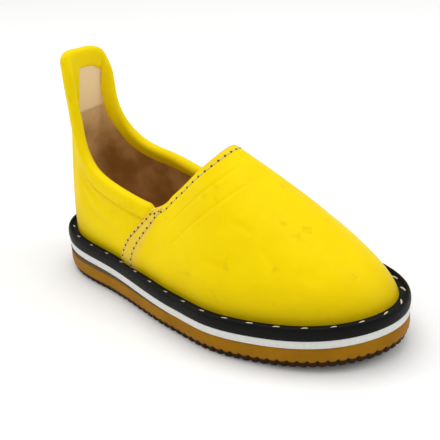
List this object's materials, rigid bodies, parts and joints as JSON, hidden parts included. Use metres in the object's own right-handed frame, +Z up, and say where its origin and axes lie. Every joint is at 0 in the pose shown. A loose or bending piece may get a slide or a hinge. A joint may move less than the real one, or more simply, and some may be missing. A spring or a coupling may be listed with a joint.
{
  "type": "babouche slipper",
  "caption": "Child's leather slip-on slipper with a tall heel tab, high vamp, dark stitched welt, pale midsole and rubber sole.",
  "frame": {"origin": "on the floor, under the middle of the sole's length and width", "axes": "+X to the toe, +Z up, +Y to the wearer's left, which is the inner side of this right shoe"},
  "size_m": [0.165, 0.0736, 0.0987],
  "materials": {
    "honey_rubber": "satin honey-brown sole rubber with a rippled tread",
    "wedge_foam": "matt grey-brown sole filler",
    "white_foam": "matt white midsole foam",
    "black_welt": "satin black welt with pale stitches",
    "insole_leather": "matt tan lining leather",
    "yellow_leather": "smooth bright yellow leather with a soft sheen",
    "yellow_binding": "folded bright yellow leather edge"
  },
  "bodies": {
    "root": {"outsole": "honey_rubber", "heel_wedge": "wedge_foam", "midsole": "white_foam", "welt": "black_welt", "insole": "insole_leather", "upper": "yellow_leather", "collar_binding": "yellow_binding"}
  },
  "joints": []
}
